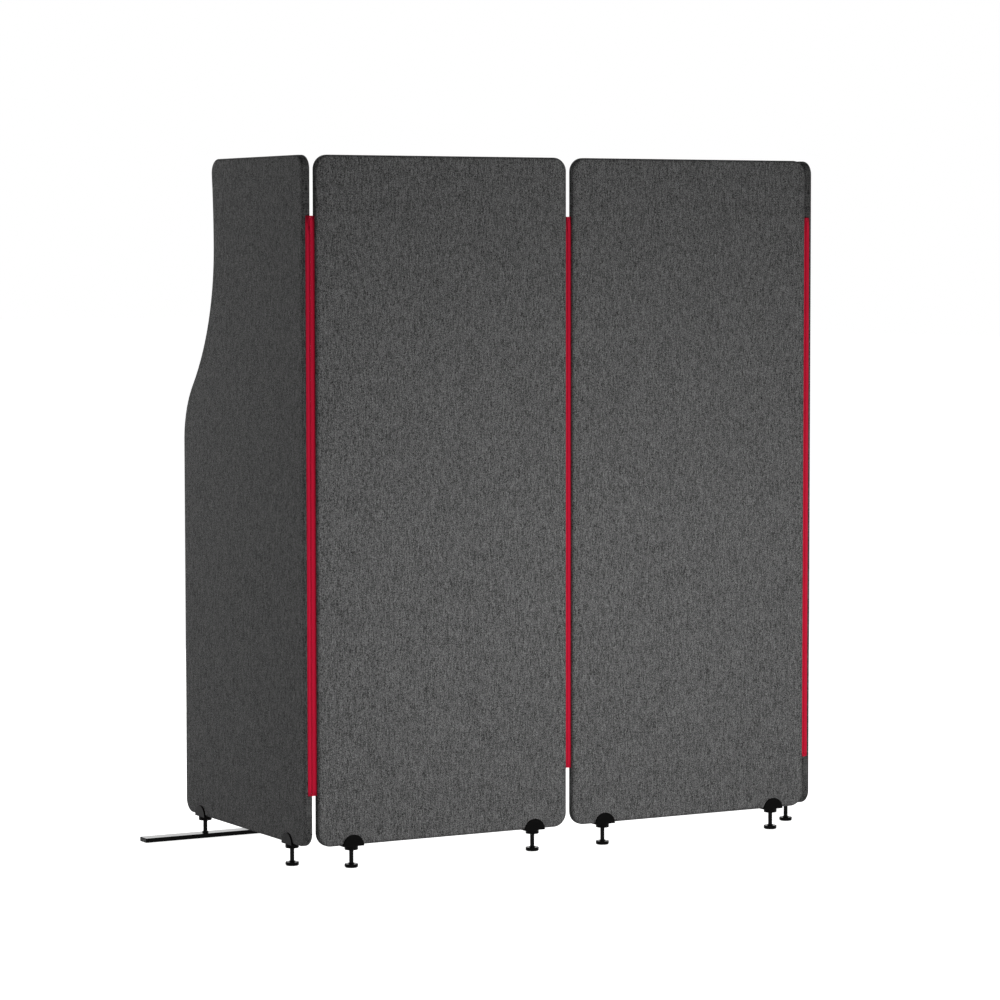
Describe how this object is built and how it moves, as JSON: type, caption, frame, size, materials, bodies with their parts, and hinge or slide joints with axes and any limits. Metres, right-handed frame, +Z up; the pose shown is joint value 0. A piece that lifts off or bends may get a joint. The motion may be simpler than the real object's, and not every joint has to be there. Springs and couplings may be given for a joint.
{
  "type": "acoustic divider screen",
  "caption": "Free-standing acoustic screen: upright fabric panels joined by zips in a U, waisted wings, clip-on levelling feet and flat stabiliser bars.",
  "frame": {"origin": "on the floor, at the centre of the footprint of the U that the panels stand in", "axes": "+X along the two centre panels, from the left zip to the right one; +Y into the open side of the U; +Z up"},
  "size_m": [1.547, 0.6172, 1.492],
  "materials": {
    "cover_fabric": "coarse woven charcoal melange, matte",
    "core_board": "pressed felt board, raw",
    "black_clamp": "satin moulded black",
    "screw_steel": "blackened",
    "spindle_steel": "black oxide, satin",
    "black_pad": "satin moulded black",
    "black_bar": "black powder coat",
    "grip_rubber": "matte",
    "zip_tape": "woven bright red tape and moulded red teeth",
    "zip_metal": "bright red enamel"
  },
  "bodies": {
    "left_centre_panel": {"left_centre_panel_core": "core_board", "left_centre_panel_outer_cover": "cover_fabric", "left_centre_panel_inner_cover": "cover_fabric", "left_centre_panel_near_clamp": "black_clamp", "left_centre_panel_far_clamp": "black_clamp", "left_centre_panel_clamp_screws": "screw_steel", "left_corner_zip_centre_tape": "zip_tape", "left_corner_zip_wing_tape": "zip_tape", "left_corner_zip_stops": "zip_metal"},
    "left_wing": {"left_wing_core": "core_board", "left_wing_outer_cover": "cover_fabric", "left_wing_inner_cover": "cover_fabric", "left_wing_near_clamp": "black_clamp", "left_wing_far_clamp": "black_clamp", "left_wing_clamp_screws": "screw_steel"},
    "right_centre_panel": {"right_centre_panel_core": "core_board", "right_centre_panel_outer_cover": "cover_fabric", "right_centre_panel_inner_cover": "cover_fabric", "right_centre_panel_near_clamp": "black_clamp", "right_centre_panel_far_clamp": "black_clamp", "right_centre_panel_clamp_screws": "screw_steel", "right_corner_zip_centre_tape": "zip_tape", "right_corner_zip_wing_tape": "zip_tape", "right_corner_zip_stops": "zip_metal"},
    "right_wing": {"right_wing_core": "core_board", "right_wing_outer_cover": "cover_fabric", "right_wing_inner_cover": "cover_fabric", "right_wing_near_clamp": "black_clamp", "right_wing_far_clamp": "black_clamp", "right_wing_clamp_screws": "screw_steel"},
    "centre_zip": {"centre_zip_left_tape": "zip_tape", "centre_zip_right_tape": "zip_tape", "centre_zip_stops": "zip_metal"},
    "centre_zip_slider": {"centre_zip_slider": "zip_metal"},
    "centre_zip_pull": {"centre_zip_pull": "zip_metal"},
    "left_corner_zip_slider": {"left_corner_zip_slider": "zip_metal"},
    "left_corner_zip_pull": {"left_corner_zip_pull": "zip_metal"},
    "right_corner_zip_slider": {"right_corner_zip_slider": "zip_metal"},
    "right_corner_zip_pull": {"right_corner_zip_pull": "zip_metal"},
    "left_centre_panel_near_foot": {"left_centre_panel_near_spindle": "spindle_steel", "left_centre_panel_near_pad": "black_pad"},
    "left_centre_panel_far_foot": {"left_centre_panel_far_spindle": "spindle_steel", "left_centre_panel_far_pad": "black_pad"},
    "left_wing_near_foot": {"left_wing_near_spindle": "spindle_steel", "left_wing_near_pad": "black_pad"},
    "left_wing_far_foot": {"left_wing_far_spindle": "spindle_steel", "left_wing_far_nut": "spindle_steel"},
    "right_centre_panel_near_foot": {"right_centre_panel_near_spindle": "spindle_steel", "right_centre_panel_near_pad": "black_pad"},
    "right_centre_panel_far_foot": {"right_centre_panel_far_spindle": "spindle_steel", "right_centre_panel_far_pad": "black_pad"},
    "right_wing_near_foot": {"right_wing_near_spindle": "spindle_steel", "right_wing_near_pad": "black_pad"},
    "right_wing_far_foot": {"right_wing_far_spindle": "spindle_steel", "right_wing_far_nut": "spindle_steel"},
    "left_bar": {"left_wing_bar": "black_bar", "left_wing_bar_grip": "grip_rubber"},
    "right_bar": {"right_wing_bar": "black_bar", "right_wing_bar_grip": "grip_rubber"}
  },
  "joints": [
    {"name": "centre_zip_left_seam", "type": "hinge", "parent": "centre_zip", "child": "left_centre_panel", "pos_m": [-0.00595, -0.29425, 0], "axis": [0, 0, 1], "range_deg": [-35, 45]},
    {"name": "centre_zip_right_seam", "type": "hinge", "parent": "centre_zip", "child": "right_centre_panel", "pos_m": [0.00595, -0.29425, 0], "axis": [0, 0, -1], "range_deg": [-35, 45]},
    {"name": "left_corner_zip_wing_seam", "type": "hinge", "parent": "left_centre_panel", "child": "left_wing", "pos_m": [-0.62355, -0.29265, 0], "axis": [0, 0, -1], "range_deg": [-140, 10]},
    {"name": "right_corner_zip_wing_seam", "type": "hinge", "parent": "right_centre_panel", "child": "right_wing", "pos_m": [0.62355, -0.29265, 0], "axis": [0, 0, 1], "range_deg": [-140, 10]},
    {"name": "centre_zip_slider_run", "type": "slide", "parent": "centre_zip", "child": "centre_zip_slider", "axis": [0, 0, -1], "range_m": [0, 1.1659]},
    {"name": "centre_zip_pull_swing", "type": "hinge", "parent": "centre_zip_slider", "child": "centre_zip_pull", "pos_m": [0, -0.29855, 1.3567], "axis": [-1, 0, 0], "range_deg": [0, 150]},
    {"name": "left_corner_zip_slider_run", "type": "slide", "parent": "left_centre_panel", "child": "left_corner_zip_slider", "axis": [0, 0, -1], "range_m": [0, 1.1829]},
    {"name": "left_corner_zip_pull_swing", "type": "hinge", "parent": "left_corner_zip_slider", "child": "left_corner_zip_pull", "pos_m": [-0.61651, -0.29773, 1.3567], "axis": [-0.9944, 0.1061, 0], "range_deg": [0, 150]},
    {"name": "right_corner_zip_slider_run", "type": "slide", "parent": "right_centre_panel", "child": "right_corner_zip_slider", "axis": [0, 0, -1], "range_m": [0, 1.1829]},
    {"name": "right_corner_zip_pull_swing", "type": "hinge", "parent": "right_corner_zip_slider", "child": "right_corner_zip_pull", "pos_m": [0.61651, -0.29773, 1.3567], "axis": [-0.9944, -0.1061, 0], "range_deg": [0, 150]},
    {"name": "left_centre_panel_near_foot_level", "type": "slide", "parent": "left_centre_panel", "child": "left_centre_panel_near_foot", "axis": [0, 0, -1], "range_m": [-0.014, 0.008]},
    {"name": "left_centre_panel_far_foot_level", "type": "slide", "parent": "left_centre_panel", "child": "left_centre_panel_far_foot", "axis": [0, 0, -1], "range_m": [-0.014, 0.008]},
    {"name": "left_wing_near_foot_level", "type": "slide", "parent": "left_wing", "child": "left_wing_near_foot", "axis": [0, 0, -1], "range_m": [-0.014, 0.008]},
    {"name": "left_wing_far_foot_level", "type": "slide", "parent": "left_wing", "child": "left_wing_far_foot", "axis": [0, 0, -1], "range_m": [-0.014, 0.008]},
    {"name": "right_centre_panel_near_foot_level", "type": "slide", "parent": "right_centre_panel", "child": "right_centre_panel_near_foot", "axis": [0, 0, -1], "range_m": [-0.014, 0.008]},
    {"name": "right_centre_panel_far_foot_level", "type": "slide", "parent": "right_centre_panel", "child": "right_centre_panel_far_foot", "axis": [0, 0, -1], "range_m": [-0.014, 0.008]},
    {"name": "right_wing_near_foot_level", "type": "slide", "parent": "right_wing", "child": "right_wing_near_foot", "axis": [0, 0, -1], "range_m": [-0.014, 0.008]},
    {"name": "right_wing_far_foot_level", "type": "slide", "parent": "right_wing", "child": "right_wing_far_foot", "axis": [0, 0, -1], "range_m": [-0.014, 0.008]},
    {"name": "left_bar_swivel", "type": "hinge", "parent": "left_wing_far_foot", "child": "left_bar", "pos_m": [-0.62355, 0.22765, 0], "axis": [0, 0, 1], "range_deg": [-90, 90]},
    {"name": "right_bar_swivel", "type": "hinge", "parent": "right_wing_far_foot", "child": "right_bar", "pos_m": [0.62355, 0.22765, 0], "axis": [0, 0, 1], "range_deg": [-90, 90]}
  ]
}
